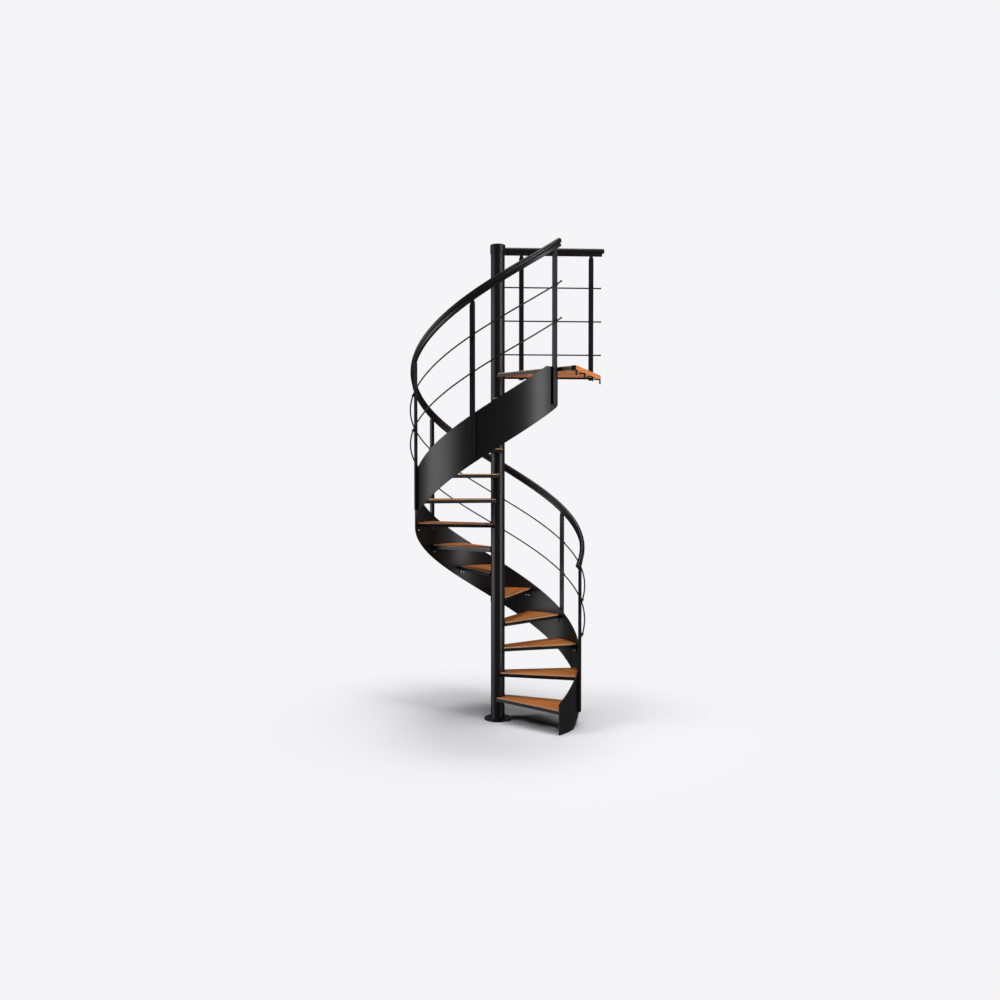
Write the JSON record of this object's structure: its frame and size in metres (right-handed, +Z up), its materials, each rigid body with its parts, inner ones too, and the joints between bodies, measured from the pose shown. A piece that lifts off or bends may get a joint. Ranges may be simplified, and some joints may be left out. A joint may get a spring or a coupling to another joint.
{
  "type": "spiral staircase",
  "caption": "Spiral staircase with wedge treads between a central column and a helical plate stringer, with posts, rods, a round handrail and a landing.",
  "frame": {"origin": "centre of the base plate's underside, on the column's axis at floor level", "axes": "+Z up along the column; +X points to the landing's side, the flight starts at 45 degrees clockwise of +X and climbs counter-clockwise seen from above"},
  "size_m": [1.6547, 1.4855, 4.01],
  "materials": {
    "steel": "satin black powder coat",
    "rod_steel": "satin black powder coat",
    "wood": "satin lacquered hardwood"
  },
  "bodies": {
    "root": {"base_plate": "steel", "column": "steel", "column_cap": "steel", "handrail": "steel", "landing_boards": "wood", "landing_brackets": "steel", "landing_frame": "steel", "landing_handrail": "steel", "landing_nosing": "wood", "landing_post_1": "steel", "landing_post_2": "steel", "landing_rod_clips": "rod_steel", "landing_rods": "rod_steel", "lower_rod": "rod_steel", "post_1": "steel", "post_2": "steel", "post_3": "steel", "post_4": "steel", "post_5": "steel", "post_6": "steel", "post_7": "steel", "rod_clips": "rod_steel", "stringer": "steel", "tread_board_01": "wood", "tread_board_02": "wood", "tread_board_03": "wood", "tread_board_04": "wood", "tread_board_05": "wood", "tread_board_06": "wood", "tread_board_07": "wood", "tread_board_08": "wood", "tread_board_09": "wood", "tread_board_10": "wood", "tread_board_11": "wood", "tread_board_12": "wood", "tread_board_13": "wood", "tread_frame_01": "steel", "tread_frame_02": "steel", "tread_frame_03": "steel", "tread_frame_04": "steel", "tread_frame_05": "steel", "tread_frame_06": "steel", "tread_frame_07": "steel", "tread_frame_08": "steel", "tread_frame_09": "steel", "tread_frame_10": "steel", "tread_frame_11": "steel", "tread_frame_12": "steel", "tread_frame_13": "steel", "upper_rod": "rod_steel"}
  },
  "joints": []
}
